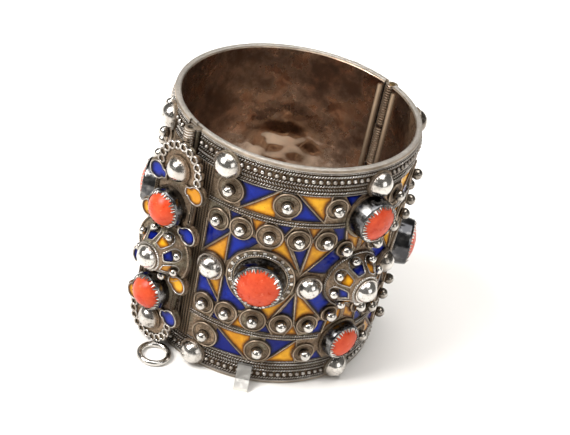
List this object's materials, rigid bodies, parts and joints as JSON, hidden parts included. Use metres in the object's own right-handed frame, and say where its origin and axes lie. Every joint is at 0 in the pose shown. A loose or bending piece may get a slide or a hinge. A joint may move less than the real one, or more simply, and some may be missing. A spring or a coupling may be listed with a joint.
{
  "type": "hinged cuff bracelet",
  "caption": "Tall hinged cuff bracelet of enamelled silver with coral cabochons, domes and balls, closed by a removable pin behind an ornamental plate.",
  "frame": {"origin": "on the axis of the cuff, at the height of its lower rim; the cuff stands on that rim", "axes": "+Z along the axis of the cuff, up from the lower rim; -Y out of the middle of the front half; +X to the hinge; -X to the clasp and its plate"},
  "size_m": [0.075, 0.0794, 0.0652],
  "materials": {
    "old_silver": "tarnished silver with worn bright tops",
    "bright_silver": "polished silver",
    "brass_pin": "worn",
    "coral": "polished coral",
    "blue_enamel": "glossy fired enamel",
    "yellow_enamel": "glossy fired enamel"
  },
  "bodies": {
    "front_half": {"front_shell": "old_silver", "front_coral_left": "coral", "front_coral_right": "coral", "front_coral_top": "coral", "front_coral_bottom": "coral", "front_blue_enamel": "blue_enamel", "front_yellow_enamel": "yellow_enamel", "clasp_plate": "old_silver", "plate_coral_top": "coral", "plate_coral_bottom": "coral", "plate_blue_enamel": "blue_enamel", "plate_yellow_enamel": "yellow_enamel", "hinge_pin": "brass_pin", "mark_tab": "bright_silver"},
    "back_half": {"back_shell": "old_silver", "back_coral_left": "coral", "back_coral_right": "coral", "back_coral_top": "coral", "back_coral_bottom": "coral", "back_blue_enamel": "blue_enamel", "back_yellow_enamel": "yellow_enamel"},
    "pin": {"clasp_pin": "bright_silver"}
  },
  "joints": [
    {"name": "cuff_hinge", "type": "hinge", "parent": "front_half", "child": "back_half", "pos_m": [0.0306, 0, 0], "axis": [0, 0, -1], "range_deg": [0, 100]},
    {"name": "pin_draw", "type": "slide", "parent": "front_half", "child": "pin", "axis": [0, 0, -1], "range_m": [0, 0.066]}
  ]
}
